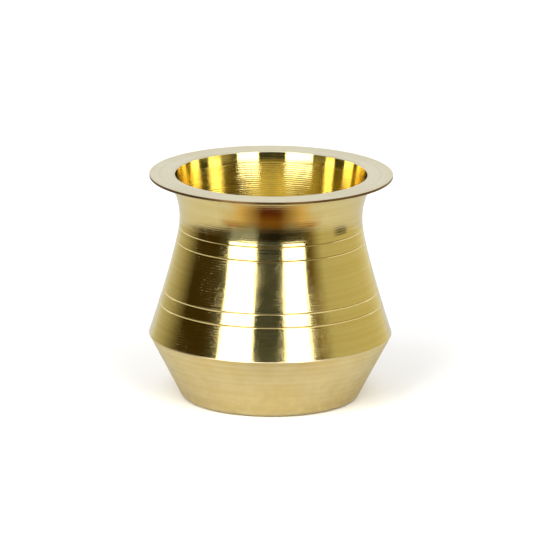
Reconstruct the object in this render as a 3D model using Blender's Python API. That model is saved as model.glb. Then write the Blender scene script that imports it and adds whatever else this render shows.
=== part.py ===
"""A small brass lota: four pieces of thin brass, lapped into one another and brazed into an open vessel.

Every piece is turned about the Z axis. The lota stands on z = 0, and all sizes are in metres.
"""

import math

import bmesh
import bpy

# Sheet and clearance
SHEET = 0.0009  # brass of the wall and the bowl
FIT = 0.0001  # clearance between pieces that meet, as a brazed joint has

# Lower bowl
BASE_RADIUS = 0.0275  # where the straight cone would reach the ground
BASE_ROUND = 0.0022  # outer round between the cone and the standing ring
STAND_WIDTH = 0.0045  # flat ring that the lota stands on
SHOULDER_RADIUS = 0.03805
SHOULDER_HEIGHT = 0.0202
LIP_HEIGHT = 0.0040  # lip of the bowl, lapped inside the wall above the shoulder
SEAM_HEIGHT = 0.0004  # braze that shows along the shoulder

# Base plate
PLATE_SHEET = 0.0009
PLATE_FILLET_RISE = 0.0014  # braze fillet up the bowl, round the plate
PLATE_FILLET_REACH = 0.0026  # and inwards over the plate

# Wall and neck
WALL_HEIGHT = 0.0368  # from the shoulder up to the foot of the neck
WALL_TURN = 0.0306  # height above the shoulder at which the wall turns upright
WALL_HOLLOW = 0.00179  # how far the wall's curve is drawn in there from a straight line
NECK_RADIUS = 0.0286  # outside of the neck at its narrowest
NECK_HEIGHT = 0.0005  # straight part of the neck
FLARE_HEIGHT = 0.0129
FLARE_REACH = 0.0042  # how far the neck's lip stands out beyond its narrowest part
NECK_SHEET = 0.0007  # brass left at the narrowest part, where the bore starts
BORE_STEP = 0.00064  # ledge inside the neck, under the mouth rim's collar

# Engraved rings
RING_WIDTH = 0.0005
RING_DEPTH = 0.0002
UPPER_PAIR_DROP = 0.0023  # first ring below the foot of the neck
UPPER_PAIR_PITCH = 0.0043
LOWER_PAIR_RISE = 0.0104  # lowest ring above the shoulder
LOWER_PAIR_PITCH = 0.0040

# Mouth rim
FLANGE_SHEET = 0.0008
FLANGE_SETBACK = 0.00005  # the flange is as wide as the shoulder, less this clearance
COLLAR_DEPTH = 0.0034  # from the top of the flange to the collar's lower edge
MOUTH_CHAMFER_DEPTH = 0.00025  # chamfer of the mouth's edge
MOUTH_CHAMFER_REACH = 0.00035
RIM_FILLET = 0.0010  # leg of the braze fillet under the flange

# Mesh
SEGMENTS = 64
MERGE_DISTANCE = 0.000001
SMOOTH_ANGLE = math.radians(20)
FLARE_STEPS = 8
WALL_STEPS = 8
COLLAR_STEPS = 4
LIP_STEPS = 2
ROUND_STEPS = 4

# Finishes: colour, roughness
POLISHED_BRASS = ((0.74, 0.58, 0.24, 1.0), 0.16)
BRUSHED_BRASS = ((0.72, 0.57, 0.27, 1.0), 0.30)
BRAZE_BRASS = ((0.76, 0.64, 0.34, 1.0), 0.35)

# Heights and radii that follow from the sizes above
NECK_FOOT = SHOULDER_HEIGHT + WALL_HEIGHT
NECK_WAIST = NECK_FOOT + NECK_HEIGHT
NECK_LIP = NECK_WAIST + FLARE_HEIGHT
FLANGE_UNDERSIDE = NECK_LIP + FIT
RIM_TOP = FLANGE_UNDERSIDE + FLANGE_SHEET
RIM_RADIUS = SHOULDER_RADIUS - FLANGE_SETBACK
COLLAR_EDGE = RIM_TOP - COLLAR_DEPTH
BORE_LEDGE = COLLAR_EDGE - FIT

FLARE_ROUND = (FLARE_HEIGHT**2 + FLARE_REACH**2) / (2 * FLARE_REACH)
CONE_SLOPE = (SHOULDER_RADIUS - BASE_RADIUS) / SHOULDER_HEIGHT
CONE_ANGLE = math.atan(CONE_SLOPE)
WALL_ANGLE = math.atan((SHOULDER_RADIUS - NECK_RADIUS) / WALL_HEIGHT)
STAND_RADIUS = BASE_RADIUS - BASE_ROUND * math.tan(math.pi / 4 - CONE_ANGLE / 2)

SKIRT_EDGE = SHOULDER_HEIGHT + SEAM_HEIGHT / 2 + FIT
BOWL_LEDGE = SHOULDER_HEIGHT - SEAM_HEIGHT / 2 - FIT
LIP_TOP = SHOULDER_HEIGHT + LIP_HEIGHT
PLATE_SEAT = SHEET + FIT
PLATE_TOP = PLATE_SEAT + PLATE_SHEET


def spread(start, end, steps):
    """Evenly spaced values from start to end, both included."""
    return [start + (end - start) * i / steps for i in range(steps + 1)]


def neck_radius(height, depth):
    """Radius of the neck's surface, depth below its outside: a cylinder, then an arc that flares outwards."""
    if height <= NECK_WAIST:
        return NECK_RADIUS - depth
    rise = height - NECK_WAIST
    return NECK_RADIUS + FLARE_ROUND - math.sqrt((FLARE_ROUND + depth) ** 2 - rise**2)


def bore_radius(height):
    """Radius of the bore: one straight taper up through the neck and the mouth rim's collar."""
    narrow = NECK_RADIUS - NECK_SHEET
    wide = neck_radius(BORE_LEDGE, SHEET) - BORE_STEP
    return narrow + (wide - narrow) * (height - NECK_WAIST) / (BORE_LEDGE - NECK_WAIST)


def wall_radius(height, depth):
    """Radius of the wall's surface, depth below its outside: a curve drawn in most at WALL_TURN."""
    chord = SHOULDER_RADIUS + (NECK_RADIUS - SHOULDER_RADIUS) * WALL_TURN / WALL_HEIGHT
    bend = WALL_HEIGHT - 2 * WALL_TURN
    rise = height - SHOULDER_HEIGHT
    along = rise / (WALL_TURN + math.sqrt(WALL_TURN**2 + bend * rise))
    outside = (
        SHOULDER_RADIUS * (1 - along) ** 2
        + 2 * (chord - WALL_HOLLOW) * along * (1 - along)
        + NECK_RADIUS * along**2
    )
    return outside - depth / math.cos(WALL_ANGLE)


def bowl_radius(height, depth):
    """Radius of the bowl's surface, depth below its outside: the base round, then the straight cone."""
    round_end = BASE_ROUND - (BASE_ROUND - depth) * math.sin(CONE_ANGLE)
    if height >= round_end:
        return BASE_RADIUS + CONE_SLOPE * height - depth / math.cos(CONE_ANGLE)
    return STAND_RADIUS + math.sqrt((BASE_ROUND - depth) ** 2 - (BASE_ROUND - height) ** 2)


def base_round(depth):
    """The bowl's base round, depth below its outside, from the cone down to the standing ring."""
    angles = spread(CONE_ANGLE, math.pi / 2, ROUND_STEPS)
    radius = BASE_ROUND - depth
    return [(STAND_RADIUS + radius * math.cos(a), BASE_ROUND - radius * math.sin(a)) for a in angles]


def brass(name, colour, roughness):
    """A brass material with its own colour and polish."""
    material = bpy.data.materials.new(name)
    material.use_nodes = True
    shader = material.node_tree.nodes["Principled BSDF"]
    shader.inputs["Base Color"].default_value = colour
    shader.inputs["Metallic"].default_value = 1.0
    shader.inputs["Roughness"].default_value = roughness
    material.diffuse_color = colour
    return material


def turned(name, outline, finish, parent):
    """Spin an outline of (radius, height) points about Z into one closed piece."""
    shape = bmesh.new()
    points = [shape.verts.new((radius, 0, height)) for radius, height in outline]
    edges = []
    for first, second in zip(points, points[1:] + points[:1]):
        if first.co.x > 0 or second.co.x > 0:
            edges.append(shape.edges.new((first, second)))
    bmesh.ops.spin(
        shape,
        geom=points + edges,
        cent=(0, 0, 0),
        axis=(0, 0, 1),
        angle=2 * math.pi,
        steps=SEGMENTS,
        use_merge=True,
    )
    bmesh.ops.remove_doubles(shape, verts=shape.verts, dist=MERGE_DISTANCE)
    bmesh.ops.recalc_face_normals(shape, faces=shape.faces)
    mesh = bpy.data.meshes.new(name)
    shape.to_mesh(mesh)
    shape.free()
    mesh.shade_smooth()
    mesh.set_sharp_from_angle(angle=SMOOTH_ANGLE)
    mesh.materials.append(brass(name + "_brass", *finish))
    piece = bpy.data.objects.new(name, mesh)
    piece.parent = parent
    bpy.context.scene.collection.objects.link(piece)
    return piece


def engraved_ring_heights():
    """Middles of the four engraved rings, from the neck down."""
    upper = NECK_FOOT - UPPER_PAIR_DROP
    lower = SHOULDER_HEIGHT + LOWER_PAIR_RISE
    return [upper, upper - UPPER_PAIR_PITCH, lower + LOWER_PAIR_PITCH, lower]


def engraved_wall():
    """Outside of the wall from the foot of the neck down to the skirt's edge, with its engraved rings."""
    rings = engraved_ring_heights()
    points = [
        (wall_radius(height, 0), height)
        for height in spread(NECK_FOOT, SKIRT_EDGE, WALL_STEPS)
        if all(abs(height - ring) > RING_WIDTH / 2 + FIT for ring in rings)
    ]
    for ring in rings:
        for offset, depth in ((RING_WIDTH / 2, 0), (0, RING_DEPTH), (-RING_WIDTH / 2, 0)):
            points.append((wall_radius(ring + offset, depth), ring + offset))
    return sorted(points, key=lambda point: -point[1])


def upper_body_outline():
    """Neck and wall: down the outside from the lip, then up the inside to the bore and the ledge."""
    flare = spread(NECK_LIP, NECK_WAIST, FLARE_STEPS)
    outside = [(neck_radius(height, 0), height) for height in flare] + engraved_wall()
    inside = [(wall_radius(height, SHEET), height) for height in spread(SKIRT_EDGE, NECK_FOOT, WALL_STEPS)]
    bore = [(bore_radius(height), height) for height in (NECK_WAIST, BORE_LEDGE)]
    seat = [(neck_radius(height, SHEET), height) for height in spread(BORE_LEDGE, NECK_LIP, COLLAR_STEPS)]
    return outside + inside + bore + seat


def lower_bowl_outline():
    """Cone with its base round, standing ring and lapped lip: down the outside, then up the inside."""
    lip = spread(LIP_TOP, BOWL_LEDGE, LIP_STEPS)
    lip_outside = [(wall_radius(height, SHEET + FIT), height) for height in lip]
    lip_inside = [(wall_radius(height, 2 * SHEET + FIT), height) for height in reversed(lip[:-1])]
    outside = lip_outside + [(bowl_radius(BOWL_LEDGE, 0), BOWL_LEDGE)] + base_round(0)
    stand = [(STAND_RADIUS - STAND_WIDTH, 0), (STAND_RADIUS - STAND_WIDTH, SHEET)]
    bend = BOWL_LEDGE - SHEET
    inside = list(reversed(base_round(SHEET))) + [(bowl_radius(bend, SHEET), bend)]
    return outside + stand + inside + lip_inside


def base_plate_outline():
    """Flat disc on the standing ring."""
    radius = STAND_RADIUS - FIT
    return [(0, PLATE_TOP), (radius, PLATE_TOP), (radius, PLATE_SEAT), (0, PLATE_SEAT)]


def mouth_rim_outline():
    """Flange and collar: in along the underside, down the collar, then up the bore to the mouth's edge."""
    flange = [(RIM_RADIUS, RIM_TOP), (RIM_RADIUS, FLANGE_UNDERSIDE)]
    collar = spread(FLANGE_UNDERSIDE, COLLAR_EDGE, COLLAR_STEPS)
    collar_outside = [(neck_radius(height, SHEET + FIT), height) for height in collar]
    chamfer_foot = RIM_TOP - MOUTH_CHAMFER_DEPTH
    bore = [(bore_radius(height), height) for height in (COLLAR_EDGE, chamfer_foot)]
    mouth_edge = [(bore_radius(chamfer_foot) + MOUTH_CHAMFER_REACH, RIM_TOP)]
    return flange + collar_outside + bore + mouth_edge


def rim_braze_outline():
    """Fillet in the corner between the flange and the neck."""
    corner = neck_radius(NECK_LIP, 0) + FIT
    foot = NECK_LIP - RIM_FILLET
    return [(corner, NECK_LIP), (corner + RIM_FILLET, NECK_LIP), (neck_radius(foot, 0) + FIT, foot)]


def shoulder_braze_outline():
    """Ring between the skirt's edge and the bowl's ledge, with the shoulder as its outer corner."""
    top = SHOULDER_HEIGHT + SEAM_HEIGHT / 2
    bottom = SHOULDER_HEIGHT - SEAM_HEIGHT / 2
    return [
        (wall_radius(top, 0), top),
        (SHOULDER_RADIUS, SHOULDER_HEIGHT),
        (bowl_radius(bottom, 0), bottom),
        (wall_radius(bottom, SHEET), bottom),
        (wall_radius(top, SHEET), top),
    ]


def base_braze_outline():
    """Fillet between the plate's top and the inside of the bowl."""
    foot = PLATE_TOP + FIT
    top = foot + PLATE_FILLET_RISE
    corner = bowl_radius(foot, SHEET + FIT)
    return [(bowl_radius(top, SHEET + FIT), top), (corner, foot), (corner - PLATE_FILLET_REACH, foot)]


def main():
    for old in list(bpy.data.objects):
        bpy.data.objects.remove(old)
    lota = bpy.data.objects.new("lota", None)
    bpy.context.scene.collection.objects.link(lota)
    turned("mouth_rim", mouth_rim_outline(), BRUSHED_BRASS, lota)
    turned("upper_body", upper_body_outline(), POLISHED_BRASS, lota)
    turned("lower_bowl", lower_bowl_outline(), BRUSHED_BRASS, lota)
    turned("base_plate", base_plate_outline(), BRUSHED_BRASS, lota)
    turned("rim_braze", rim_braze_outline(), BRAZE_BRASS, lota)
    turned("shoulder_braze", shoulder_braze_outline(), BRAZE_BRASS, lota)
    turned("base_braze", base_braze_outline(), BRAZE_BRASS, lota)


main()
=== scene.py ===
"""A brass lota dressed over its fixed frame: finely turned pieces, worn brass finishes and a pale studio."""

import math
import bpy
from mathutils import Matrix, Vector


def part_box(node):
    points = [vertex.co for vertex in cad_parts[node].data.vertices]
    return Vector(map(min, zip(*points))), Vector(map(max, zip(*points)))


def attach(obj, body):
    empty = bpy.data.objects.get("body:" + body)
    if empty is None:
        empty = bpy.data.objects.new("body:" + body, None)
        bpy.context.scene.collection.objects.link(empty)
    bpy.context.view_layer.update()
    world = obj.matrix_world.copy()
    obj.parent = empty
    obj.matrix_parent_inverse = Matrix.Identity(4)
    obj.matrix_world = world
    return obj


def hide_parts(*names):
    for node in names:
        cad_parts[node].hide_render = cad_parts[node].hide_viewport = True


bl_info = {
    "name": "Brass Lota",
    "version": (1, 0, 0),
    "blender": (4, 5, 0),
    "location": "3D View > Sidebar > Lota",
    "description": "Turns the pieces of a brass lota over its frame and sets up a pale studio",
    "category": "Add Mesh",
}

from collections import namedtuple

import bmesh
import bpy
from bpy.props import FloatProperty, FloatVectorProperty, IntProperty, PointerProperty
from mathutils import Matrix, Vector, noise

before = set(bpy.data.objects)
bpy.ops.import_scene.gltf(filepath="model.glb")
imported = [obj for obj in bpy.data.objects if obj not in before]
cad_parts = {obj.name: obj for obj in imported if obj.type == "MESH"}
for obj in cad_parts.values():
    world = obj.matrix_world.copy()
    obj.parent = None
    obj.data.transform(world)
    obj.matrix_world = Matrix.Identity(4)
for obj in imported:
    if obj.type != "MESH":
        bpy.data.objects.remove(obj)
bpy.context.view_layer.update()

RIM_LOW, RIM_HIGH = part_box("mouth_rim")
WALL_LOW, WALL_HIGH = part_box("upper_body")
BOWL_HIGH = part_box("lower_bowl")[1]
PLATE_LOW, PLATE_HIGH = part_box("base_plate")
SEAM_LOW, SEAM_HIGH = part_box("shoulder_braze")
FILLET_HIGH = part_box("rim_braze")[1]

BODY = "root"
SIDEBAR = "Lota"

# Steps of a turned outline.
FIT = 0.0001  # clearance between lapped pieces, in metres
ON_AXIS = 1e-6  # radius below which a point lies on the axis, in metres
ROUNDING = 1e-6  # share of a step that is only a rounding error
LONGEST = 1.01  # a stretch up to this many spacings long needs no points of its own
END_STEP = 5  # the first and last step of a longer stretch are this many times shorter
EASE_SHARE = 0.4  # largest share of a side that an eased corner takes up
EASE_STEP = math.radians(15)  # turn between two points of an eased corner
ROUND_STEP = 0.1  # turn between two points of the base round, in radians
INSIDE_STEP = 1.5  # spacings between two points up the wall's inside
RING_STEPS = 6  # points down each flank of an engraved ring
RING_MARGIN = 1.3  # half widths round a ring that are kept free of other points
SHARP_ANGLE = math.radians(32)  # faces that meet at more than this keep a sharp edge

# Lengths of the waves that a hand-held tool leaves, in metres, and how fast they change round the axis.
SHORT_WAVE, LONG_WAVE, SLOW_WAVE = 0.0011, 0.0032, 0.011
OUT_OF_ROUND = 2.6

# Tarnish of a surface, from a trace to all of it; under the flange and on the rings' upper flanks it also
# stands for painted shade.
TRACE, FAINT, SOME, DULL, RING_TARNISH_AND_SHADE, FULL = 0.2, 0.3, 0.5, 0.6, 0.75, 1.0

# A corner of an outline and a point of its finer one: ease is the radius that rounds the corner, finish the
# material of the face that follows, recess how much tarnish and painted shade it has there and edge how
# rubbed.
Corner = namedtuple("Corner", "radius height ease finish recess", defaults=(0.0, 0, 0.0))
Point = namedtuple("Point", "radius height edge recess finish")

# A card between two sides and two heights, in degrees: near is its distance as a share of the others'.
Card = namedtuple(
    "Card", "name left right bottom top left_glow right_glow near top_glow", defaults=(1.0, None)
)


def length(name, description, default):
    """A length property in metres."""
    return FloatProperty(name=name, description=description, default=default, unit="LENGTH", precision=5)


def share(name, description, default):
    """A property from 0 to 1."""
    return FloatProperty(
        name=name, description=description, default=default, min=0.0, max=1.0, subtype="FACTOR"
    )


def brightness(name, description, default):
    """A property for the level of a light."""
    return FloatProperty(name=name, description=description, default=default, min=0.0)


def tint(name, description, default):
    """A colour property."""
    return FloatVectorProperty(
        name=name, description=description, default=default, min=0.0, max=1.0, size=3, subtype="COLOR"
    )


def bearing(name, description, degrees):
    """An angle property."""
    return FloatProperty(
        name=name, description=description, default=math.radians(degrees), subtype="ANGLE", unit="ROTATION"
    )


class LotaSizes(bpy.types.PropertyGroup):
    """Sizes of the turned pieces. Those that the frame gives come from its boxes."""

    sheet: length("Sheet", "Thickness of the wall and the bowl", 0.0009)
    fit: length("Fit", "Clearance between lapped pieces", FIT)
    rim_radius: length("Rim Radius", "Outside of the mouth flange", RIM_HIGH.x)
    rim_top: length("Rim Top", "Height of the mouth flange's top", RIM_HIGH.z)
    flange_sheet: length("Flange Sheet", "Thickness of the mouth flange", RIM_HIGH.z - FILLET_HIGH.z - FIT)
    collar_edge: length("Collar Edge", "Height of the collar's lower edge", RIM_LOW.z)
    bore_step: length("Bore Step", "Ledge inside the neck, under the mouth rim's collar", 0.00064)
    chamfer_depth: length("Chamfer Depth", "Height of the chamfer at the mouth's edge", 0.00025)
    chamfer_reach: length("Chamfer Reach", "Width of the chamfer at the mouth's edge", 0.00035)
    neck_lip: length("Neck Lip", "Height of the neck's lip", WALL_HIGH.z)
    neck_waist: length("Neck Waist", "Height at which the neck starts to flare", 0.0575)
    neck_foot: length("Neck Foot", "Height at which the neck meets the wall", 0.0570)
    neck_radius: length("Neck Radius", "Outside of the neck at its narrowest", 0.0286)
    neck_sheet: length("Neck Sheet", "Brass left at the narrowest part, where the bore starts", 0.0007)
    flare_reach: length("Flare Reach", "How far the neck's lip stands out", 0.0042)
    wall_turn: length("Wall Turn", "Height above the shoulder at which the wall turns upright", 0.0306)
    wall_hollow: length("Wall Hollow", "How far the wall's curve is drawn in there", 0.00179)
    shoulder_radius: length("Shoulder Radius", "Outside of the shoulder", SEAM_HIGH.x)
    shoulder_height: length("Shoulder Height", "Height of the shoulder", (SEAM_LOW.z + SEAM_HIGH.z) / 2)
    skirt_edge: length("Skirt Edge", "Height of the wall's lower edge", WALL_LOW.z)
    bowl_lip: length("Bowl Lip", "Height of the bowl's lapped lip", BOWL_HIGH.z)
    base_radius: length("Base Radius", "Where the straight cone would reach the ground", 0.0275)
    base_round: length("Base Round", "Outer round between the cone and the standing ring", 0.0022)
    stand_width: length("Stand Width", "Flat ring that the lota stands on", 0.0045)
    plate_radius: length("Plate Radius", "Outside of the base plate", PLATE_HIGH.x)
    plate_seat: length("Plate Seat", "Height of the base plate's underside", PLATE_LOW.z)
    plate_top: length("Plate Top", "Height of the base plate's top", PLATE_HIGH.z)
    plate_fillet_rise: length("Plate Fillet Rise", "Braze fillet up the bowl, round the plate", 0.0014)
    plate_fillet_reach: length("Plate Fillet Reach", "Braze fillet inwards over the plate", 0.0026)
    ring_width: length("Ring Width", "Width of an engraved ring", 0.0005)
    ring_depth: length("Ring Depth", "Depth of an engraved ring", 0.0002)
    upper_pair_drop: length("Upper Pair Drop", "First ring below the neck's foot", 0.0023)
    upper_pair_pitch: length("Upper Pair Pitch", "Between the two upper rings", 0.0043)
    lower_pair_rise: length("Lower Pair Rise", "Lowest ring above the shoulder", 0.0104)
    lower_pair_pitch: length("Lower Pair Pitch", "Between the two lower rings", 0.0040)
    edge_ease: length("Edge Ease", "Round of an edge that was broken with a file", 0.00014)
    wander: length("Wander", "How far the hand-turned wall strays from true", 0.000016)
    chatter: length("Chatter", "Height of the tool's slow waves along the wall", 0.000005)
    spacing: length("Spacing", "Longest step along a turned outline", 0.0004)
    segments: IntProperty(name="Segments", description="Steps round the axis", default=192, min=32, max=512)


class LotaFinishes(bpy.types.PropertyGroup):
    """Colours and polish of the brass."""

    wall_colour: tint("Wall Colour", "Polished brass of the wall and neck", (0.80, 0.66, 0.30))
    bowl_colour: tint("Bowl Colour", "Handled brass of the bowl", (0.86, 0.73, 0.395))
    flange_colour: tint("Flange Colour", "Satin brass of the flange", (0.665, 0.62, 0.455))
    edge_colour: tint("Edge Colour", "Browned brass of the flange's edge", (0.22, 0.13, 0.05))
    bore_colour: tint("Bore Colour", "Turned brass inside the mouth", (0.79, 0.66, 0.26))
    inside_colour: tint("Inside Colour", "Dull brass inside the body", (0.66, 0.48, 0.17))
    braze_colour: tint("Braze Colour", "Pale brass of the braze", (0.82, 0.70, 0.42))
    # Tarnish in the hollows, and also painted shade under the flange and on the rings' upper flanks.
    tarnish_and_shade_colour: tint("Tarnish Colour", "Brown film in hollows and under smudges", (0.25, 0.165, 0.08))
    wall_polish: share("Wall Roughness", "Roughness of the wall", 0.055)
    neck_polish: share("Neck Roughness", "Roughness of the neck", 0.065)
    bowl_polish: share("Bowl Roughness", "Roughness of the bowl", 0.35)
    flange_polish: share("Flange Roughness", "Roughness of the flange", 0.35)
    bore_polish: share("Bore Roughness", "Roughness inside the mouth", 0.06)
    ridge_polish: share("Ridge Roughness", "Roughness of the ridged bore inside the neck", 0.085)
    inside_polish: share("Inside Roughness", "Roughness inside the body", 0.36)
    braze_polish: share("Braze Roughness", "Roughness of the braze", 0.36)


class LotaStudio(bpy.types.PropertyGroup):
    """Camera, lamps and floor."""

    camera_rise: bearing("Camera Rise", "Height of the camera above the horizon", 14.273)
    camera_roll: bearing("Camera Roll", "Tilt of the camera about its own axis", 0.339)
    camera_distance: length("Camera Distance", "From the camera to its aim", 2.28)
    camera_lens: FloatProperty(
        name="Camera Lens",
        description="Focal length in millimetres",
        default=492.05,
        subtype="DISTANCE_CAMERA",
    )
    aim_side: length("Aim Side", "Sideways offset of the camera's aim", -0.00130)
    aim_height: length("Aim Height", "Height of the camera's aim", 0.04136)
    floor_colour: tint("Floor Colour", "Pale floor as the brass mirrors it", (0.61, 0.61, 0.60))
    floor_white: tint("Floor White", "The same floor as the camera sees it", (0.98, 0.98, 0.98))
    floor_size: length("Floor Size", "Half the width of the floor", 6.0)
    table_radius: length("Table Radius", "Part of the floor that the brass mirrors", 0.205)
    table_shift: length("Table Shift", "How far that part lies behind the lota", 0.075)
    fill_level: brightness("Fill Level", "Soft light from all round", 0.70)
    lamp_level: brightness("Lamp Level", "Brightness of the two soft boxes", 5.0)
    card_distance: length("Card Distance", "From the lota to the lamps and cards", 1.5)


def spread(start, end, spacing):
    """Evenly spaced values from start to end, both included, no further apart than spacing."""
    steps = max(1, math.ceil(abs(end - start) / spacing - ROUNDING))
    return [start + (end - start) * i / steps for i in range(steps + 1)]


def neck_radius(sizes, height, depth):
    """Radius of the neck's surface, depth below its outside: a cylinder, then an arc that flares outwards."""
    if height <= sizes.neck_waist:
        return sizes.neck_radius - depth
    flare_height = sizes.neck_lip - sizes.neck_waist
    arc = (flare_height**2 + sizes.flare_reach**2) / (2 * sizes.flare_reach)
    return sizes.neck_radius + arc - math.sqrt((arc + depth) ** 2 - (height - sizes.neck_waist) ** 2)


def bore_radius(sizes, height):
    """Radius of the bore: one straight taper up through the neck and the mouth rim's collar."""
    ledge = sizes.collar_edge - sizes.fit
    narrow = sizes.neck_radius - sizes.neck_sheet
    wide = neck_radius(sizes, ledge, sizes.sheet) - sizes.bore_step
    return narrow + (wide - narrow) * (height - sizes.neck_waist) / (ledge - sizes.neck_waist)


def wall_radius(sizes, height, depth):
    """Radius of the wall's surface, depth below its outside: a curve drawn in most at the wall's turn."""
    wall_height = sizes.neck_foot - sizes.shoulder_height
    draw = sizes.shoulder_radius - sizes.neck_radius
    chord = sizes.shoulder_radius - draw * sizes.wall_turn / wall_height
    bend = wall_height - 2 * sizes.wall_turn
    rise = height - sizes.shoulder_height
    along = rise / (sizes.wall_turn + math.sqrt(sizes.wall_turn**2 + bend * rise))
    outside = (
        sizes.shoulder_radius * (1 - along) ** 2
        + 2 * (chord - sizes.wall_hollow) * along * (1 - along)
        + sizes.neck_radius * along**2
    )
    return outside - depth / math.cos(math.atan(draw / wall_height))


def body_radius(sizes, height, depth):
    """Radius of the upper body's surface: the neck above its foot, the wall below it."""
    if height >= sizes.neck_foot:
        return neck_radius(sizes, height, depth)
    return wall_radius(sizes, height, depth)


def cone_angle(sizes):
    """Lean of the bowl's cone from upright."""
    return math.atan((sizes.shoulder_radius - sizes.base_radius) / sizes.shoulder_height)


def cone_radius(sizes, height, depth):
    """Radius of the bowl's straight cone, depth below its outside."""
    lean = cone_angle(sizes)
    return sizes.base_radius + math.tan(lean) * height - depth / math.cos(lean)


def stand_radius(sizes):
    """Outer edge of the flat standing ring."""
    return sizes.base_radius - sizes.base_round * math.tan(math.pi / 4 - cone_angle(sizes) / 2)


def base_round(sizes, depth, finish, recess=0.0):
    """The bowl's base round, depth below its outside, from the cone down to the standing ring."""
    reach = sizes.base_round - depth
    centre = stand_radius(sizes)
    return [
        Corner(centre + reach * math.cos(a), sizes.base_round - reach * math.sin(a), 0.0, finish, recess)
        for a in spread(cone_angle(sizes), math.pi / 2, ROUND_STEP)
    ]


def engraved_rings(sizes):
    """Heights of the four engraved rings, from the neck down."""
    upper = sizes.neck_foot - sizes.upper_pair_drop
    lower = sizes.shoulder_height + sizes.lower_pair_rise
    return [upper, upper - sizes.upper_pair_pitch, lower + sizes.lower_pair_pitch, lower]


def engraved_wall(sizes, wall, neck):
    """Outside of the upper body from its lip down to the skirt's edge, with its engraved rings cut to a V.

    Each ring is tarnished in its groove, and painted shade darkens its upper flank, which faces down, more
    than its lower one.
    """
    half = sizes.ring_width / 2
    rings = engraved_rings(sizes)
    cuts = {}
    for height in spread(sizes.neck_lip, sizes.skirt_edge, sizes.spacing):
        if all(abs(height - ring) > half * RING_MARGIN for ring in rings):
            cuts[height] = (0.0, 0.0)
    for ring in rings:
        for step in range(-RING_STEPS, RING_STEPS + 1):
            offset = step / RING_STEPS
            cut = 1 - abs(offset)
            # Tarnish in the groove, with painted shade that is heavier on the upper, downward-facing flank.
            cuts[ring + offset * half] = (cut, cut * RING_TARNISH_AND_SHADE * (1 + offset))
    corners = []
    for height in sorted(cuts, reverse=True):
        cut, tarnish_and_shade = cuts[height]
        radius = body_radius(sizes, height, sizes.ring_depth * cut)
        corners.append(Corner(radius, height, 0.0, neck if height > sizes.neck_foot else wall, tarnish_and_shade))
    return corners


def eased(corner, before, after):
    """Points of an arc that rounds one corner of an outline."""
    here = Vector((corner.radius, corner.height))
    back, ahead = Vector(before[:2]) - here, Vector(after[:2]) - here
    opening = back.angle(ahead)
    reach = min(corner.ease / math.tan(opening / 2), EASE_SHARE * back.length, EASE_SHARE * ahead.length)
    radius = reach * math.tan(opening / 2)
    start, end = here + back.normalized() * reach, here + ahead.normalized() * reach
    centre = here + (back.normalized() + ahead.normalized()).normalized() * math.hypot(radius, reach)
    sweep = (start - centre).angle_signed(end - centre)
    steps = max(2, math.ceil(abs(sweep) / EASE_STEP))
    arc = []
    for i in range(steps + 1):
        turned = Matrix.Rotation(-sweep * i / steps, 2) @ (start - centre)
        arc.append(Point(*(centre + turned), math.sin(math.pi * i / steps), corner.recess, corner.finish))
    return arc


def fine_outline(sizes, corners):
    """Round the corners of a closed outline that have an ease, and fill its long stretches with points."""
    rounded = []
    for i, corner in enumerate(corners):
        if corner.ease > 0:
            rounded += eased(corner, corners[i - 1], corners[(i + 1) % len(corners)])
        else:
            rounded.append(Point(corner.radius, corner.height, 0.0, corner.recess, corner.finish))
    points = []
    for here, there in zip(rounded, rounded[1:] + rounded[:1]):
        points.append(here)
        stretch = math.hypot(there.radius - here.radius, there.height - here.height)
        if stretch <= sizes.spacing * LONGEST or max(here.radius, there.radius) < ON_AXIS:
            continue
        near = sizes.spacing / END_STEP / stretch
        for t in [near] + spread(2 * near, 1 - 2 * near, sizes.spacing / stretch) + [1 - near]:
            radius = here.radius + (there.radius - here.radius) * t
            height = here.height + (there.height - here.height) * t
            recess = here.recess + (there.recess - here.recess) * t
            points.append(Point(radius, height, 0.0, recess, here.finish))
    return points


def strayed(sizes, radius, height, angle):
    """Radius as a hand-held tool leaves it: slow waves up the wall, and a little out of round.

    The two waves are read from different places in the noise.
    """
    short = noise.noise(Vector((0.0, 3.7, height / SHORT_WAVE)))
    waves = short + noise.noise(Vector((9.1, 0.0, height / LONG_WAVE)))
    around = Vector((math.cos(angle) * OUT_OF_ROUND, math.sin(angle) * OUT_OF_ROUND, height / SLOW_WAVE))
    return radius + sizes.chatter * waves + sizes.wander * noise.noise(around)


def placed(context, name, shape):
    """Put a built shape in the scene as an object of its own."""
    mesh = bpy.data.meshes.new(name)
    shape.to_mesh(mesh)
    shape.free()
    item = bpy.data.objects.new(name, mesh)
    context.scene.collection.objects.link(item)
    return item


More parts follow.
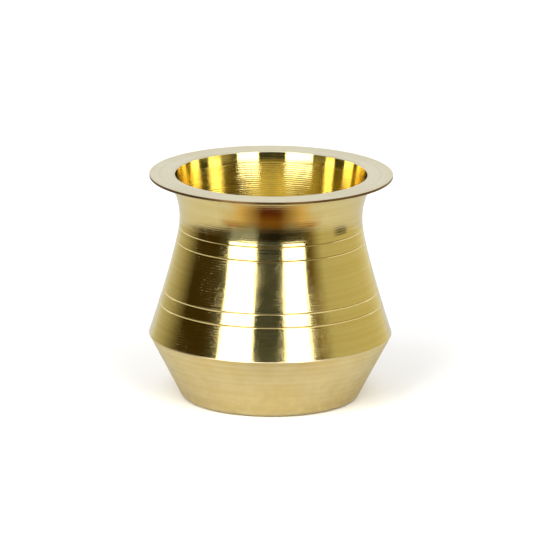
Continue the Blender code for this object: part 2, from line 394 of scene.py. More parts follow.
def turn_piece(context, node, corners, finishes):
    """Turn an outline about the axis into one closed piece that rides on the frame in place of its node."""
    sizes = context.scene.lota_sizes
    points = fine_outline(sizes, corners)
    shape = bmesh.new()
    edge = shape.verts.layers.float.new("edge")
    recess = shape.verts.layers.float.new("recess")
    on_axis = {}
    rings = []
    for step in range(sizes.segments):
        angle = 2 * math.pi * step / sizes.segments
        ring = []
        for i, point in enumerate(points):
            if i in on_axis:
                ring.append(on_axis[i])
                continue
            radius = point.radius
            if radius > ON_AXIS:
                radius = strayed(sizes, radius, point.height, angle)
            vert = shape.verts.new((radius * math.cos(angle), radius * math.sin(angle), point.height))
            vert[edge] = point.edge
            vert[recess] = point.recess
            if point.radius <= ON_AXIS:
                on_axis[i] = vert
            ring.append(vert)
        rings.append(ring)
    for here, there in zip(rings, rings[1:] + rings[:1]):
        for i, point in enumerate(points):
            j = (i + 1) % len(points)
            loop = list(dict.fromkeys((here[i], there[i], there[j], here[j])))
            if len(loop) > 2:
                shape.faces.new(loop).material_index = point.finish
    bmesh.ops.recalc_face_normals(shape, faces=shape.faces)
    piece = placed(context, f"lota_{node}", shape)
    piece.data.shade_smooth()
    piece.data.set_sharp_from_angle(angle=SHARP_ANGLE)
    for finish in finishes:
        piece.data.materials.append(brass(context, finish))
    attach(piece, BODY)
    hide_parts(node)


def put(tree, kind, sockets=None, **settings):
    """Put a node in a tree, with its settings, and with a value or a link in each named socket."""
    node = tree.nodes.new(kind)
    for key, value in settings.items():
        setattr(node, key, value)
    for key, value in (sockets or {}).items():
        if isinstance(value, bpy.types.NodeSocket):
            tree.links.new(value, node.inputs[key])
        else:
            node.inputs[key].default_value = value
    return node


def reckon(tree, operation, first, second):
    """Output of a Math node."""
    return put(tree, "ShaderNodeMath", {0: first, 1: second}, operation=operation).outputs[0]


def times(tree, first, second):
    """Product of two values."""
    return reckon(tree, "MULTIPLY", first, second)


def ramp(tree, value, low, high, to_low=0.0, to_high=1.0):
    """Output of a clamped Map Range node."""
    sockets = {"Value": value, "From Min": low, "From Max": high, "To Min": to_low, "To Max": to_high}
    return put(tree, "ShaderNodeMapRange", sockets).outputs["Result"]


def grain(tree, vector, scale, detail, roughness=0.5, distortion=0.0):
    """Output of a Noise Texture node."""
    sockets = {"Vector": vector, "Scale": scale, "Detail": detail}
    sockets.update({"Roughness": roughness, "Distortion": distortion})
    return put(tree, "ShaderNodeTexNoise", sockets).outputs["Fac"]


def stretched(tree, vector, by):
    """A vector with each axis multiplied by its own number."""
    return put(tree, "ShaderNodeVectorMath", {0: vector, 1: by}, operation="MULTIPLY").outputs[0]


def mixed(tree, factor, first, second):
    """Output of a Mix node set to colours, whose colour sockets go by number."""
    return put(tree, "ShaderNodeMix", {0: factor, 6: first, 7: second}, data_type="RGBA").outputs[2]


def emptied(owner):
    """The node tree of a new material or world, without its default nodes."""
    owner.use_nodes = True
    owner.node_tree.nodes.clear()
    return owner.node_tree


def effect(name, inputs, outputs):
    """A new shader node group that takes a place and some numbers and gives numbers, and its inputs."""
    group = bpy.data.node_groups.new(name, "ShaderNodeTree")
    group.interface.new_socket(name="Vector", in_out="INPUT", socket_type="NodeSocketVector")
    for label in inputs:
        group.interface.new_socket(name=label, in_out="INPUT", socket_type="NodeSocketFloat")
    for label in outputs:
        group.interface.new_socket(name=label, in_out="OUTPUT", socket_type="NodeSocketFloat")
    return group, group.nodes.new("NodeGroupInput").outputs


def lathe_lines(name):
    """Fine rings that the tool leaves, close together along the surface and long around it."""
    group, given = effect(name, ("Pitch", "Even"), ("Height", "Band", "Feed"))
    axes = put(group, "ShaderNodeSeparateXYZ", {0: given["Vector"]}).outputs
    squares = reckon(group, "ADD", times(group, axes["X"], axes["X"]), times(group, axes["Y"], axes["Y"]))
    radius = reckon(group, "SQRT", squares, 0.0)
    drift = 45.0  # how fast the rings change round the axis, per metre
    feed_pitches = 3.6  # fine rings between two feed lines
    outwards = reckon(group, "DIVIDE", radius, given["Pitch"])
    across = reckon(group, "ADD", outwards, times(group, axes["X"], drift))
    along = reckon(group, "DIVIDE", axes["Z"], given["Pitch"])
    place = {"X": across, "Y": times(group, axes["Y"], drift), "Z": along}
    rings = put(group, "ShaderNodeCombineXYZ", place).outputs[0]
    fine = grain(group, rings, scale=1.0, detail=3.0, roughness=0.6)
    broad = grain(group, rings, scale=0.17, detail=2.0)
    turns = reckon(group, "SINE", times(group, along, 2 * math.pi / feed_pitches), 0.0)
    patches = ramp(group, grain(group, given["Vector"], scale=75.0, detail=2.0), 0.40, 0.62)
    kept = reckon(group, "MAXIMUM", patches, given["Even"])
    fed = times(group, ramp(group, turns, -1.0, 1.0), kept)
    put(group, "NodeGroupOutput", {"Height": fine, "Band": ramp(group, broad, 0.35, 0.65), "Feed": fed})


def hair_scratches(name):
    """Thin stray scratches in two directions, from wiping and handling."""
    group, given = effect(name, ("Amount",), ("Mask",))
    turns_and_stretches = (
        ((0.5, 0.35, 0.9), (90.0, 5200.0, 5200.0)),
        ((-0.7, 0.6, 0.2), (110.0, 4300.0, 4300.0)),
    )
    layers = []
    for turn, stretch in turns_and_stretches:
        sockets = {"Vector": given["Vector"], "Rotation": turn}
        turned = put(group, "ShaderNodeVectorRotate", sockets, rotation_type="EULER_XYZ").outputs[0]
        lines = grain(group, stretched(group, turned, stretch), scale=1.0, detail=1.0)
        layers.append(ramp(group, lines, 0.66, 0.72))
    both = reckon(group, "MAXIMUM", *layers)
    patches = ramp(group, grain(group, given["Vector"], scale=70.0, detail=2.0), 0.30, 0.60)
    mask = times(group, times(group, both, patches), given["Amount"])
    put(group, "NodeGroupOutput", {"Mask": mask})


def hand_smudges(name):
    """Soft patches of film from fingers and cloths, and small flat specks."""
    group, given = effect(name, ("Size", "Amount"), ("Film", "Speck"))
    scale = reckon(group, "DIVIDE", 1.0, given["Size"])
    soft = grain(group, given["Vector"], scale, detail=2.0, distortion=0.3)
    film = times(group, ramp(group, soft, 0.38, 0.66), given["Amount"])
    flat = stretched(group, given["Vector"], (1400.0, 1400.0, 3800.0))
    specks = grain(group, flat, scale=1.0, detail=2.0, roughness=0.7)
    put(group, "NodeGroupOutput", {"Film": film, "Speck": ramp(group, specks, 0.5, 0.8)})


def edges_and_hollows(name):
    """Bright rubbed edges, and brown hollows of tarnish and painted shade, from the marks that turning leaves
    on the mesh.
    """
    group, given = effect(name, (), ("Rubbed", "Hollow"))
    uneven = grain(group, given["Vector"], scale=420.0, detail=3.0)
    patchy = ramp(group, uneven, 0.3, 0.6, 0.35, 1.0)
    made = {}
    for mark, label in (("edge", "Rubbed"), ("recess", "Hollow")):
        there = put(group, "ShaderNodeAttribute", attribute_name=mark).outputs["Fac"]
        made[label] = times(group, there, patchy)
    put(group, "NodeGroupOutput", made)


EFFECTS = {
    "Lathe Lines": lathe_lines,
    "Hair Scratches": hair_scratches,
    "Hand Smudges": hand_smudges,
    "Edges and Hollows": edges_and_hollows,
}

# Colours of worn brass, as shares of its clean colour, and how much of them the marks show; the hollows show
# tarnish and painted shade.
DEEPER, RUBBED_GAIN = (0.91, 0.85, 0.64), 1.12
BAND_TINT, FILM_TINT, HOLLOW_TINT = 0.55, 0.55, 0.65

# Roughness that the marks add: that of the bands is a share of the polish.
BAND_ROUGHNESS, FILM_ROUGHNESS, SCRATCH_ROUGHNESS, FLECK_ROUGHNESS = 0.15, 0.16, 0.12, 0.20

MARK_DEPTH = 12.0e-6  # depth of a scratch, in metres
FLECK_DEPTH = 0.30  # depth of a fleck, as a share of a scratch
QUARTER_TURN = 0.25  # turns the brushed highlight across the rings

# A finish and its marks. Fine rings: lines is their height and pitch their distance, in metres. Feed lines:
# feed is their depth, bite the roughness in them and even the share of them that is left everywhere.
# Handling: scratches, flecks and smudges are shares, and smudge_size is in metres. Brush is how far a
# highlight is drawn out across the rings.
Brass = namedtuple(
    "Brass",
    "colour polish lines pitch feed bite even scratches flecks smudges smudge_size brush",
    defaults=(0.0,) * 3 + (0.05, 0.1, 0.12, 0.007, 0.3),
)


def brass_kinds(look):
    """The brass finishes of the lota, by name."""
    return {
        "polished_wall_brass": Brass(
            look.wall_colour, look.wall_polish, lines=10e-6, pitch=0.00022, feed=0.45, bite=0.16,
            scratches=0.40, flecks=0.50, smudges=0.15, smudge_size=0.011, brush=0.6,
        ),
        "turned_neck_brass": Brass(
            look.wall_colour, look.neck_polish, lines=14e-6, pitch=0.00020, feed=0.70, bite=0.10, even=0.3,
            scratches=0.35, flecks=0.55, smudges=0.25, smudge_size=0.011, brush=0.5,
        ),
        "handled_bowl_brass": Brass(
            look.bowl_colour, look.bowl_polish, lines=8e-6, pitch=0.00030, feed=0.045, bite=0.014,
            scratches=0.02, flecks=0.02, smudges=0.80, smudge_size=0.009, brush=0.4,
        ),
        "satin_flange_brass": Brass(
            look.flange_colour, look.flange_polish, lines=2e-6, pitch=0.00016,
            scratches=0.02, flecks=0.05, smudges=0.30, smudge_size=0.010, brush=0.6,
        ),
        "turned_bore_brass": Brass(
            look.bore_colour, look.bore_polish, lines=8e-6, pitch=0.00020, feed=0.30, bite=0.02, even=0.3,
            brush=0.9,
        ),
        "ridged_bore_brass": Brass(
            look.bore_colour, look.ridge_polish, lines=16e-6, pitch=0.00018, feed=1.1, bite=0.03, even=0.6,
            brush=0.95,
        ),
        "brown_edge_brass": Brass(
            look.edge_colour, look.flange_polish, lines=3e-6, pitch=0.00020, smudges=0.50, smudge_size=0.005,
        ),
        "dull_inside_brass": Brass(
            look.inside_colour, look.inside_polish, lines=6e-6, pitch=0.00050, feed=0.09, bite=0.028,
            flecks=0.2, smudges=0.80, smudge_size=0.009,
        ),
        "scuffed_base_brass": Brass(
            look.bowl_colour, look.inside_polish, lines=4e-6, pitch=0.00040,
            scratches=0.20, flecks=0.3, smudges=0.90,
        ),
        "braze_brass": Brass(
            look.braze_colour, look.braze_polish, lines=1e-6, pitch=0.00030,
            scratches=0.03, smudges=0.60, smudge_size=0.004, brush=0.0,
        ),
    }


def brass(context, name):
    """The material of one brass finish, made on first use."""
    if name in bpy.data.materials:
        return bpy.data.materials[name]
    finishes = context.scene.lota_finishes
    kind = brass_kinds(finishes)[name]
    material = bpy.data.materials.new(name)
    tree = emptied(material)
    place = put(tree, "ShaderNodeTexCoord").outputs["Object"]

    def marks(label, **sockets):
        """Outputs of one of the shared effects, which is made on first use, placed on the piece."""
        if label not in bpy.data.node_groups:
            EFFECTS[label](label)
        sockets["Vector"] = place
        return put(tree, "ShaderNodeGroup", sockets, node_tree=bpy.data.node_groups[label]).outputs

    def raised(value, mask, amount):
        """A value with a share of a mask added to it."""
        return reckon(tree, "ADD", value, times(tree, mask, amount))

    lines = marks("Lathe Lines", Pitch=kind.pitch, Even=kind.even)
    scratches = marks("Hair Scratches", Amount=kind.scratches)
    smudges = marks("Hand Smudges", Size=kind.smudge_size, Amount=kind.smudges)
    wear_and_shade = marks("Edges and Hollows")

    clean = (*kind.colour, 1.0)
    deep = (*(channel * part for channel, part in zip(kind.colour, DEEPER)), 1.0)
    rubbed = (*(min(1.0, channel * RUBBED_GAIN) for channel in kind.colour), 1.0)
    tarnished_and_shaded = (*finishes.tarnish_and_shade_colour, 1.0)
    colour = mixed(tree, ramp(tree, lines["Band"], 0.0, 1.0, 0.0, BAND_TINT), clean, deep)
    colour = mixed(tree, times(tree, smudges["Film"], FILM_TINT), colour, deep)
    # Tarnish in hollows, and painted shade under the flange and on the rings' upper flanks.
    colour = mixed(tree, times(tree, wear_and_shade["Hollow"], HOLLOW_TINT), colour, tarnished_and_shaded)
    colour = mixed(tree, wear_and_shade["Rubbed"], colour, rubbed)

    smoothest, roughest = kind.polish * (1 - BAND_ROUGHNESS), kind.polish * (1 + BAND_ROUGHNESS)
    rough = ramp(tree, lines["Band"], 0.0, 1.0, smoothest, roughest)
    rough = raised(rough, smudges["Film"], FILM_ROUGHNESS)
    rough = raised(rough, scratches["Mask"], SCRATCH_ROUGHNESS)
    rough = raised(rough, smudges["Speck"], FLECK_ROUGHNESS * kind.flecks)
    rough = raised(rough, lines["Feed"], kind.bite)

    rings = {"Strength": 1.0, "Distance": kind.lines, "Height": lines["Height"]}
    ringed = put(tree, "ShaderNodeBump", rings).outputs["Normal"]
    depth = raised(scratches["Mask"], smudges["Speck"], FLECK_DEPTH * kind.flecks)
    depth = raised(depth, lines["Feed"], kind.feed)
    cuts = {"Strength": 1.0, "Distance": MARK_DEPTH, "Height": depth, "Normal": ringed}
    surface = {
        "Base Color": colour,
        "Metallic": 1.0,
        "Roughness": rough,
        "Normal": put(tree, "ShaderNodeBump", cuts, invert=True).outputs["Normal"],
        "Anisotropic": kind.brush,
        "Anisotropic Rotation": QUARTER_TURN,
        "Tangent": put(tree, "ShaderNodeTangent", direction_type="RADIAL", axis="Z").outputs["Tangent"],
    }
    shader = put(tree, "ShaderNodeBsdfPrincipled", surface)
    put(tree, "ShaderNodeOutputMaterial", {"Surface": shader.outputs["BSDF"]})
    return material


class LOTA_OT_mouth_rim(bpy.types.Operator):
    """Turn the mouth flange with its collar and chamfered edge"""

    bl_idname = "lota.mouth_rim"
    bl_label = "Mouth Rim"

    def execute(self, context):
        sizes = context.scene.lota_sizes
        flange, bore, hidden, edge = range(4)
        underside = sizes.rim_top - sizes.flange_sheet
        foot = sizes.rim_top - sizes.chamfer_depth
        toe = sizes.collar_edge - 0.8 * sizes.fit  # all but closes the gap above the neck's ledge
        outer_ease, chamfer_ease = 0.6 * sizes.edge_ease, 0.5 * sizes.edge_ease
        corners = [
            Corner(bore_radius(sizes, foot) + sizes.chamfer_reach, sizes.rim_top, sizes.edge_ease, flange),
            Corner(sizes.rim_radius, sizes.rim_top, outer_ease, edge),
            Corner(sizes.rim_radius, underside, outer_ease, flange),
        ]
        for height in spread(underside, sizes.collar_edge, sizes.spacing):
            corners.append(Corner(neck_radius(sizes, height, sizes.sheet + sizes.fit), height, 0.0, hidden))
        corners.append(Corner(bore_radius(sizes, sizes.collar_edge), toe, 0.0, bore))
        corners.append(Corner(bore_radius(sizes, foot), foot, chamfer_ease, flange))
        finishes = ("satin_flange_brass", "turned_bore_brass", "dull_inside_brass", "brown_edge_brass")
        turn_piece(context, "mouth_rim", corners, finishes)
        return {"FINISHED"}


class LOTA_OT_upper_body(bpy.types.Operator):
    """Turn the neck and wall with their engraved rings"""

    bl_idname = "lota.upper_body"
    bl_label = "Upper Body"

    def execute(self, context):
        sizes = context.scene.lota_sizes
        wall, neck, bore, inside = range(4)
        corners = engraved_wall(sizes, wall, neck)
        for height in spread(sizes.skirt_edge, sizes.neck_foot, INSIDE_STEP * sizes.spacing):
            radius = wall_radius(sizes, height, sizes.sheet)
            if radius > bore_radius(sizes, height):
                corners.append(Corner(radius, height, 0.0, inside, DULL))
        ledge = sizes.collar_edge - sizes.fit
        corners[-1] = corners[-1]._replace(finish=bore, recess=0.0)
        corners.append(Corner(bore_radius(sizes, ledge), ledge, 0.0, inside))
        for height in spread(ledge, sizes.neck_lip, sizes.spacing):
            corners.append(Corner(neck_radius(sizes, height, sizes.sheet), height, 0.0, inside))
        finishes = ("polished_wall_brass", "turned_neck_brass", "ridged_bore_brass", "dull_inside_brass")
        turn_piece(context, "upper_body", corners, finishes)
        return {"FINISHED"}


class LOTA_OT_lower_bowl(bpy.types.Operator):
    """Turn the bowl with its lapped lip and its standing ring"""

    bl_idname = "lota.lower_bowl"
    bl_label = "Lower Bowl"

    def execute(self, context):
        sizes = context.scene.lota_sizes
        outside, inside, foot = range(3)
        ledge = SEAM_LOW.z - sizes.fit
        lip = spread(sizes.bowl_lip, ledge, sizes.spacing)
        stand = stand_radius(sizes) - sizes.stand_width
        lap = sizes.sheet + sizes.fit
        corners = [Corner(wall_radius(sizes, height, lap), height, 0.0, inside) for height in lip]
        corners.append(Corner(cone_radius(sizes, ledge, 0.0), ledge, 0.0, outside))
        corners += base_round(sizes, 0.0, outside, FAINT)
        corners[-1] = corners[-1]._replace(finish=foot)
        corners += [
            Corner(stand, 0.0, sizes.edge_ease, foot, TRACE),
            Corner(stand, sizes.sheet, sizes.edge_ease, inside, DULL),
            *reversed(base_round(sizes, sizes.sheet, inside)),
        ]
        bend, bend_ease = ledge - sizes.sheet, 6 * sizes.edge_ease
        corners.append(Corner(cone_radius(sizes, bend, sizes.sheet), bend, bend_ease, inside, DULL))
        depth = 2 * sizes.sheet + sizes.fit
        for height in reversed(lip[:-1]):
            corners.append(Corner(wall_radius(sizes, height, depth), height, 0.0, inside, DULL))
        finishes = ("handled_bowl_brass", "dull_inside_brass", "scuffed_base_brass")
        turn_piece(context, "lower_bowl", corners, finishes)
        return {"FINISHED"}


class LOTA_OT_base_plate(bpy.types.Operator):
    """Turn the base plate"""

    bl_idname = "lota.base_plate"
    bl_label = "Base Plate"

    def execute(self, context):
        sizes = context.scene.lota_sizes
        inside, foot = range(2)
        corners = [
            Corner(0.0, sizes.plate_top, 0.0, inside, FAINT),
            Corner(sizes.plate_radius, sizes.plate_top, sizes.edge_ease, inside, DULL),
            Corner(sizes.plate_radius, sizes.plate_seat, sizes.edge_ease, foot, DULL),
            Corner(0.0, sizes.plate_seat, 0.0, foot, TRACE),
        ]
        finishes = ("dull_inside_brass", "scuffed_base_brass")
        turn_piece(context, "base_plate", corners, finishes)
        return {"FINISHED"}


class LOTA_OT_braze_rings(bpy.types.Operator):
    """Turn the three braze rings: under the flange, along the shoulder and round the base plate"""

    bl_idname = "lota.braze_rings"
    bl_label = "Braze Rings"

    def execute(self, context):
        sizes = context.scene.lota_sizes
        outlines = {
            "rim_braze": self.rim_fillet(sizes),
            "shoulder_braze": self.shoulder_seam(sizes),
            "base_braze": self.base_fillet(sizes),
        }
        for node, corners in outlines.items():
            turn_piece(context, node, corners, ("braze_brass",))
        return {"FINISHED"}

    def hollow_fillet(self, corner, first, last, tarnish_and_shade, steps=8):
        """A fillet's outline: its corner, then a face from first to last that is hollowed towards it."""
        corner, first, last = Vector(corner), Vector(first), Vector(last)
        pull = corner * 0.5 + (first + last) * 0.25
        outline = [Corner(corner.x, corner.y, 0.0, 0, FULL)]
        for i in range(steps + 1):
            t = i / steps
            bow = first * (1 - t) ** 2 + pull * 2 * t * (1 - t) + last * t**2
            outline.append(Corner(bow.x, bow.y, 0.0, 0, tarnish_and_shade))
        return outline

    def rim_fillet(self, sizes):
        """Outline of the fillet under the flange, round the neck's lip, fully darkened as painted shade under
        the flange.
        """
        corner = neck_radius(sizes, sizes.neck_lip, 0.0)
        leg = FILLET_HIGH.x - corner - sizes.fit
        foot = sizes.neck_lip - leg
        underside = sizes.rim_top - sizes.flange_sheet
        # The full tarnish colour here is painted shade under the flange.
        return self.hollow_fillet(
            (corner, underside), (corner + leg, underside), (neck_radius(sizes, foot, 0.0), foot), FULL
        )

    def shoulder_seam(self, sizes):
        """Outline of the seam along the shoulder, dressed flush with the wall and the bowl."""
        top, bottom = SEAM_HIGH.z + sizes.fit, SEAM_LOW.z - sizes.fit
        return [
            Corner(wall_radius(sizes, top, 0.0), top, 0.0, 0),
            Corner(sizes.shoulder_radius, sizes.shoulder_height, sizes.edge_ease, 0),
            Corner(cone_radius(sizes, bottom, 0.0), bottom, 0.0, 0),
            Corner(wall_radius(sizes, bottom, sizes.sheet), bottom, 0.0, 0),
            Corner(wall_radius(sizes, top, sizes.sheet), top, 0.0, 0),
        ]

    def base_fillet(self, sizes):
        """Outline of the fillet round the base plate's edge, inside the bowl."""
        top = sizes.plate_top + sizes.fit + sizes.plate_fillet_rise
        corner = cone_radius(sizes, sizes.plate_top, sizes.sheet)
        return self.hollow_fillet(
            (corner, sizes.plate_top),
            (cone_radius(sizes, top, sizes.sheet), top),
            (corner - sizes.plate_fillet_reach, sizes.plate_top),
            SOME,
        )


def direction(side, rise):
    """Unit vector from the lota: side to the right of the camera's own side, rise above the horizon."""
    return Vector((math.sin(side) * math.cos(rise), -math.cos(side) * math.cos(rise), math.sin(rise)))


def glowing():
    """A glowing material, made on first use, as bright as the mesh says."""
    name = "glowing_card"
    if name in bpy.data.materials:
        return bpy.data.materials[name]
    material = bpy.data.materials.new(name)
    tree = emptied(material)
    level = put(tree, "ShaderNodeAttribute", attribute_name="glow").outputs["Color"]
    glow = put(tree, "ShaderNodeEmission", {"Color": level, "Strength": 1.0})
    put(tree, "ShaderNodeOutputMaterial", {"Surface": glow.outputs[0]})
    return material


def show_card(context, name, rows, lights_floor=False):
    """Join rows of places and their glows to a card that the camera sees only in reflections."""
    shape = bmesh.new()
    glow = shape.verts.layers.float_color.new("glow")
    grid = []
    for row in rows:
        verts = []
        for place, level in row:
            vert = shape.verts.new(place)
            vert[glow] = (*level, 1.0)
            verts.append(vert)
        grid.append(verts)
    for here, there in zip(grid, grid[1:]):
        for i in range(len(here) - 1):
            shape.faces.new((here[i], there[i], there[i + 1], here[i + 1]))
    card = placed(context, name, shape)
    card.data.materials.append(glowing())
    card.visible_camera = False
    card.visible_shadow = False
    card.visible_diffuse = lights_floor
    card.visible_transmission = False


CARD_STEP = 2.0  # degrees between two columns of a curved card
FAN_SIDES = (9.0, 22.0, 33.0, 46.0, 60.0)  # degrees from the middle of the fan to its edge
FAN_SHIFT = Vector((0.0, 0.012, 0.0005))  # from the axis back and up to where the fan's rays meet, in metres
TABLE_EDGE = (0.96, 1.06)  # where the mirrored part of the floor fades out, as shares of its radius
FOOT_EDGE = 0.0002  # width over which the floor under the foot fades out, in metres
FLOOR_DROP = 0.00002  # gap under the standing ring, in metres


class LOTA_OT_stage(bpy.types.Operator):
    """Set up the pale floor, the soft boxes and cards, the white surroundings and the camera"""

    bl_idname = "lota.stage"
    bl_label = "Stage"

    def execute(self, context):
        studio = context.scene.lota_studio
        self.floor(context, studio)
        for card in self.cards(studio):
            self.stand_card(context, studio, card)
        self.warm_card(context)
        self.surroundings(context, studio)
        self.camera(context, studio)
        context.scene.view_settings.view_transform = "Standard"
        return {"FINISHED"}

    def cards(self, studio):
        """Lamps and cards round the lota, by degrees to the right of the camera and above the horizon."""
        lamp = Vector((1.0, 1.0, 1.0)) * studio.lamp_level
        dark = Vector((0.058, 0.064, 0.054))
        shade = Vector((0.008, 0.006, 0.002))
        brown = Vector((0.048, 0.031, 0.004))
        spill = Vector((0.085, 0.090, 0.065))
        gold = Vector((0.70, 0.64, 0.36))
        light = Vector((0.76, 0.74, 0.58))
        olive = Vector((0.58, 0.55, 0.33))
        grey = Vector((0.28, 0.32, 0.34))
        dim = Vector((0.036, 0.032, 0.018))
        haze = Vector((0.105, 0.117, 0.118))
        murk = Vector((0.018, 0.018, 0.008))
        outer_left, inner_left, inner_right, outer_right = -51.3, -17.8, 15.6, 41.2
        lamp_left_foot, lamp_right_foot, lamp_top = -5.0, -3.5, 70.0
        lowest, side_foot, side_top, back_top = -36.0, -30.0, 34.0, 6.0
        spot_foot, spot_top, closer = -18.5, -11.5, 0.97
        levels = (
            (lowest, shade), (-7.0, shade), (-6.0, haze), (1.0, haze), (3.0, murk), (6.0, murk), (8.0, haze),
            (11.0, haze), (13.3, murk), (15.8, murk), (17.3, haze), (18.4, haze * 1.6), (19.0, haze),
            (19.7, murk * 2), (22.0, murk * 2), (26.0, dark), (66.0, dark),
        )
        centre = [
            Card(f"dark_centre_{i}", inner_left, inner_right, bottom, top, low, low, top_glow=high)
            for i, ((bottom, low), (top, high)) in enumerate(zip(levels, levels[1:]))
        ]
        return centre + [
            Card("softbox_left", outer_left, inner_left, lamp_left_foot, lamp_top, lamp, lamp),
            Card("softbox_right", inner_right, outer_right, lamp_right_foot, lamp_top, lamp, lamp),
            Card("dark_left", -98.0, -68.0, side_foot, side_top, brown, brown),
            Card("spill_left", -68.0, outer_left, side_foot, side_top, brown, spill),
            Card("fade_left", -122.0, -98.0, side_foot, side_top, gold * 0.60, brown),
            Card("gold_left", -165.0, -122.0, side_foot, back_top, light * 1.1, gold * 0.60),
            Card("dark_right", outer_right, 49.0, side_foot, side_top, spill, brown * 3),
            Card("rise_right", 49.0, 65.0, side_foot, side_top, brown * 3, olive),
            Card("olive_right", 65.0, 122.0, side_foot, side_top, olive, gold * 0.95),
            Card("gold_right", 122.0, 165.0, side_foot, back_top, gold * 0.95, light * 1.15),
            Card("low_left", outer_left, inner_left, lowest, lamp_left_foot, grey, grey),
            Card("low_right", inner_right, outer_right, lowest, lamp_right_foot, dim, dim),
            Card("spot_near", 86.0, 93.0, spot_foot, spot_top, olive * 0.7, brown, closer),
            Card("spot_core", 93.0, 104.0, spot_foot, spot_top, brown, brown, closer),
            Card("spot_far", 104.0, 111.0, spot_foot, spot_top, brown, olive * 0.6, closer),
        ]

    def stand_card(self, context, studio, card):
        """One curved card at its distance from the lota. Only the lamps also light the floor."""
        away = studio.card_distance * card.near
        columns = []
        for side in spread(card.left, card.right, CARD_STEP):
            across = (side - card.left) / (card.right - card.left)
            low = card.left_glow.lerp(card.right_glow, across)
            high = low if card.top_glow is None else card.top_glow
            column = []
            for rise, level in ((card.bottom, low), (card.top, high)):
                place = direction(math.radians(side), 0.0) * away
                place.z = studio.aim_height + away * math.tan(math.radians(rise))
                column.append((place, level))
            columns.append(column)
        show_card(context, card.name, columns, lights_floor=card.left_glow.x > 1.0)

    def warm_card(self, context):
        """A brown card like a fan that lies in front of the lota and warms the neck's reflection.

        Each row has its distance, its glows from the middle to near the edge, and how much of them is left.
        """
        pale = Vector((0.78, 0.78, 0.76))
        warm = Vector((0.78, 0.56, 0.24))
        mid = Vector((0.46, 0.31, 0.13))
        red = Vector((0.10, 0.020, 0.005))
        brown = Vector((0.20, 0.090, 0.012))
        ash = Vector((0.27, 0.25, 0.21))
        rust = Vector((0.52, 0.23, 0.06))
        ember = Vector((0.33, 0.23, 0.13))
        chestnut = Vector((0.16, 0.055, 0.008))
        cream = warm.lerp(pale, 0.5)
        rows = []
        for reach, *glows, strength in (
            (0.062, brown, mid, warm, cream, 0.8),
            (0.070, red, mid, warm, pale, 1.0),
            (0.082, red, mid, warm, pale, 1.0),
            (0.095, chestnut, mid, warm, cream, 1.0),
            (0.114, brown * 1.15, mid, warm, cream, 1.0),
            (0.130, brown, ash, ember, rust, 1.0),
            (0.147, brown * 0.4, ash, ember, rust * 0.4, 1.0),
        ):
            right = list(zip(FAN_SIDES, (*glows, pale)))
            left = [(-side, glow) for side, glow in reversed(right)]
            row = []
            for side, glow in left + right:
                place = direction(math.radians(side), 0.0) * reach + FAN_SHIFT
                row.append((place, pale.lerp(glow, strength)))
            rows.append(row)
        show_card(context, "warm_card", rows)

    def floor(self, context, studio):
        """A pale floor. The brass mirrors only the part round the lota, and from below it is clear."""
        shape = bmesh.new()
        bmesh.ops.create_grid(shape, x_segments=1, y_segments=1, size=studio.floor_size)
        floor = placed(context, "pale_floor", shape)
        floor.location.z = -FLOOR_DROP
        material = bpy.data.materials.new("pale_floor")
        tree = emptied(material)
        place = put(tree, "ShaderNodeTexCoord").outputs["Object"]
        places = {0: place, 1: (0.0, studio.table_shift, 0.0)}
        from_table = put(tree, "ShaderNodeVectorMath", places, operation="DISTANCE").outputs["Value"]
        beyond = ramp(tree, from_table, *(part * studio.table_radius for part in TABLE_EDGE))
        path = put(tree, "ShaderNodeLightPath").outputs
        below = put(tree, "ShaderNodeNewGeometry").outputs["Backfacing"]
        from_axis = put(tree, "ShaderNodeVectorMath", {0: place}, operation="LENGTH").outputs["Value"]
        foot = stand_radius(context.scene.lota_sizes)
        beneath = ramp(tree, from_axis, foot, foot + FOOT_EDGE, 1.0, 0.0)
        unseen = times(tree, reckon(tree, "MAXIMUM", beyond, beneath), path["Is Glossy Ray"])
        hidden = reckon(tree, "MAXIMUM", unseen, below)
        mirrored, seen = (*studio.floor_colour, 1.0), (*studio.floor_white, 1.0)
        shade = mixed(tree, path["Is Camera Ray"], mirrored, seen)
        paint = put(tree, "ShaderNodeBsdfDiffuse", {"Color": shade})
        clear = put(tree, "ShaderNodeBsdfTransparent")
        both = put(tree, "ShaderNodeMixShader", {0: hidden, 1: paint.outputs[0], 2: clear.outputs[0]})
        put(tree, "ShaderNodeOutputMaterial", {"Surface": both.outputs[0]})
        floor.data.materials.append(material)

    def surroundings(self, context, studio):
        """White surroundings for the camera and for reflections, and a softer level as light."""
        world = bpy.data.worlds.new("white_studio")
        context.scene.world = world
        tree = emptied(world)
        path = put(tree, "ShaderNodeLightPath").outputs
        seen = reckon(tree, "MAXIMUM", path["Is Camera Ray"], path["Is Glossy Ray"])
        seen = reckon(tree, "MAXIMUM", seen, path["Is Transmission Ray"])
        level = ramp(tree, seen, 0.0, 1.0, studio.fill_level, 1.0)
        glow = put(tree, "ShaderNodeBackground", {"Color": (1.0, 1.0, 1.0, 1.0), "Strength": level})
        put(tree, "ShaderNodeOutputWorld", {"Surface": glow.outputs[0]})

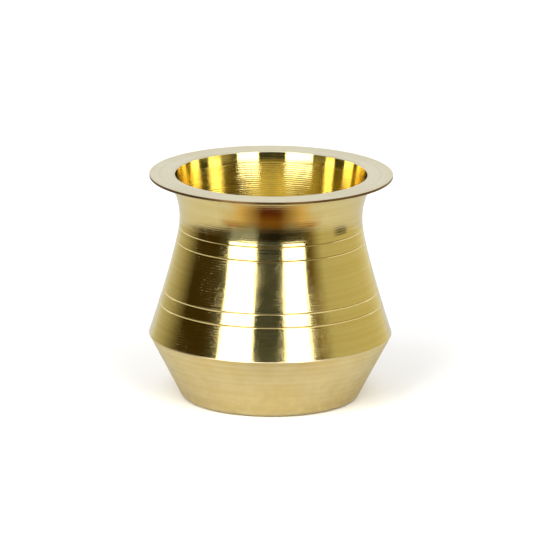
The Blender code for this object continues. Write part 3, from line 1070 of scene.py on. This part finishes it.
    def camera(self, context, studio):
        """A long lens from a little above, as the lota is seen in its picture."""
        lens = bpy.data.cameras.new("camera")
        lens.lens = studio.camera_lens
        lens.sensor_width = 36.0
        lens.clip_end = 100.0
        camera = bpy.data.objects.new("camera", lens)
        aim = Vector((studio.aim_side, 0.0, studio.aim_height))
        back = direction(0.0, studio.camera_rise)
        turn = (-back).to_track_quat("-Z", "Y").to_matrix().to_4x4()
        camera.matrix_world = (
            Matrix.Translation(aim + back * studio.camera_distance)
            @ turn
            @ Matrix.Rotation(studio.camera_roll, 4, "Z")
        )
        context.scene.collection.objects.link(camera)
        context.scene.camera = camera


class VIEW3D_PT_lota(bpy.types.Panel):
    """The lota's pieces, sizes and finishes"""

    bl_label = "Brass Lota"
    bl_space_type = "VIEW_3D"
    bl_region_type = "UI"
    bl_category = SIDEBAR

    def draw(self, context):
        for operator in OPERATORS:
            self.layout.operator(operator.bl_idname)
        for group in (context.scene.lota_sizes, context.scene.lota_finishes, context.scene.lota_studio):
            box = self.layout.box()
            for name in group.__annotations__:
                box.prop(group, name)


OPERATORS = (
    LOTA_OT_mouth_rim,
    LOTA_OT_upper_body,
    LOTA_OT_lower_bowl,
    LOTA_OT_base_plate,
    LOTA_OT_braze_rings,
    LOTA_OT_stage,
)
CLASSES = (LotaSizes, LotaFinishes, LotaStudio, *OPERATORS, VIEW3D_PT_lota)


def register():
    """Add the lota's classes and settings to Blender."""
    for cls in CLASSES:
        bpy.utils.register_class(cls)
    bpy.types.Scene.lota_sizes = PointerProperty(type=LotaSizes)
    bpy.types.Scene.lota_finishes = PointerProperty(type=LotaFinishes)
    bpy.types.Scene.lota_studio = PointerProperty(type=LotaStudio)


def unregister():
    """Take them out again."""
    del bpy.types.Scene.lota_studio
    del bpy.types.Scene.lota_finishes
    del bpy.types.Scene.lota_sizes
    for cls in reversed(CLASSES):
        bpy.utils.unregister_class(cls)


def main():
    """Make every piece and the stage."""
    register()
    bpy.ops.lota.mouth_rim()
    bpy.ops.lota.upper_body()
    bpy.ops.lota.lower_bowl()
    bpy.ops.lota.base_plate()
    bpy.ops.lota.braze_rings()
    bpy.ops.lota.stage()


if __name__ == "__main__":
    main()
